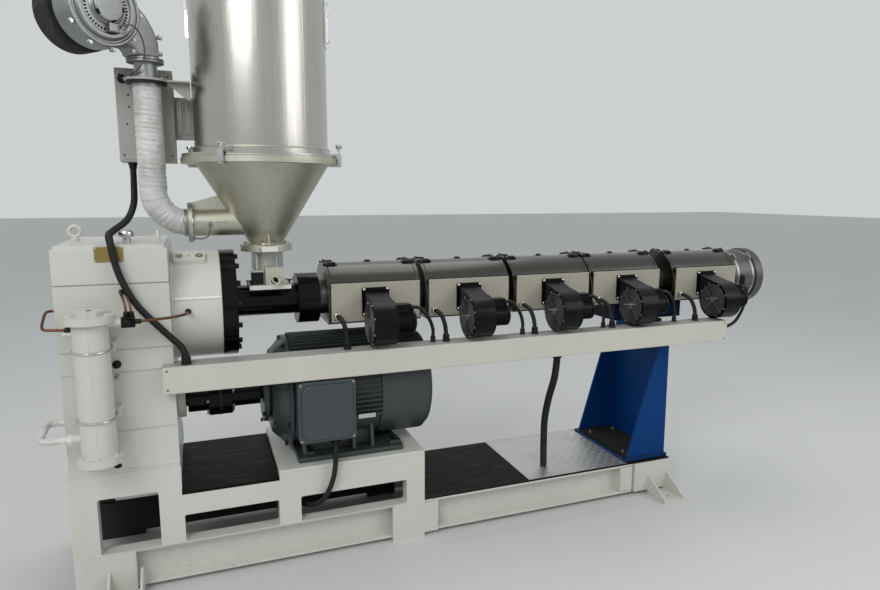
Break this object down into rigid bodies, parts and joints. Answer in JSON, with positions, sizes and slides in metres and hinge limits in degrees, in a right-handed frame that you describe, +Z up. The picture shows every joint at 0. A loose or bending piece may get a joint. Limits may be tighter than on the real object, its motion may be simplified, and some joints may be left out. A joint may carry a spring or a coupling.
{
  "type": "single screw plastic extruder with hopper dryer, five air cooled zones and under-slung drive motor",
  "caption": "Grey pipe extruder on a welded base: gearbox, direct motor drive, air cooled barrel, steel hopper dryer and oil cooler",
  "frame": {"origin": "on the floor, under the middle of the whole machine's box", "axes": "+X along the screw from the gearbox to the discharge end, +Y to the back of the machine, away from the cable duct, +Z up"},
  "size_m": [3.4604, 0.837, 2.604],
  "materials": {
    "machine_paint": "warm grey white gloss paint, lightly dirty",
    "worn_plate": "dark worn steel plate with oil stains",
    "bright_fittings": "bright plated",
    "black_oxide": "black oxide, oiled",
    "cast_magnet_body": "cream paint on a casting",
    "clear_acrylic": "clear",
    "hopper_steel": "satin to polished stainless steel",
    "hose_wrap": "silver white tape wrap",
    "cast_blower": "bare casting",
    "filter_foam": "open foam",
    "copper_pipe": "drawn copper, dulled",
    "white_pipe": "white plastic pipe",
    "zone_cover": "dark brushed stainless steel",
    "panel_paint": "satin grey cream paint",
    "blower_black": "black satin paint",
    "turned_steel": "turned steel",
    "conduit_black": "corrugated plastic conduit",
    "blue_paint": "blue paint, scratched",
    "motor_paint": "slate blue grey paint"
  },
  "bodies": {
    "machine": {"front_side_frame": "machine_paint", "back_side_frame": "machine_paint", "front_channel": "machine_paint", "back_channel": "machine_paint", "base_plates": "machine_paint", "deck_plates": "worn_plate", "end_beam": "machine_paint", "anchor_feet": "machine_paint", "gearbox_case": "machine_paint", "gearbox_cover": "machine_paint", "gearbox_fittings": "bright_fittings", "thrust_housing": "machine_paint", "feed_section": "black_oxide", "feed_seat": "cast_magnet_body", "sight_box": "clear_acrylic", "hopper_base": "hopper_steel", "hopper_cone": "hopper_steel", "hopper_cylinder": "hopper_steel", "hopper_lid": "hopper_steel", "dryer_hose": "hose_wrap", "dryer_blower": "cast_blower", "dryer_filter": "filter_foam", "control_box": "machine_paint", "oil_cooler": "machine_paint", "oil_pipes": "copper_pipe", "water_pipe": "white_pipe", "barrel_tube": "black_oxide", "heater_zone_1": "zone_cover", "heater_zone_2": "zone_cover", "heater_zone_3": "zone_cover", "heater_zone_4": "zone_cover", "heater_zone_5": "zone_cover", "side_panels": "panel_paint", "zone_blower_1": "blower_black", "zone_blower_2": "blower_black", "zone_blower_3": "blower_black", "zone_blower_4": "blower_black", "zone_blower_5": "blower_black", "barrel_end": "turned_steel", "cable_tray": "machine_paint", "conduits": "conduit_black", "support_column": "blue_paint", "motor_frame": "motor_paint", "fan_cowl": "motor_paint"},
    "coupling": {"drive_coupling": "black_oxide"},
    "gate": {"hopper_gate": "bright_fittings"}
  },
  "joints": [
    {"name": "coupling_spin", "type": "hinge", "parent": "machine", "child": "coupling", "pos_m": [-1.115, 0.0235, 0.67], "axis": [1, 0, 0], "continuous": true},
    {"name": "gate_slide", "type": "slide", "parent": "machine", "child": "gate", "axis": [0, -1, 0], "range_m": [0, 0.08]}
  ]
}
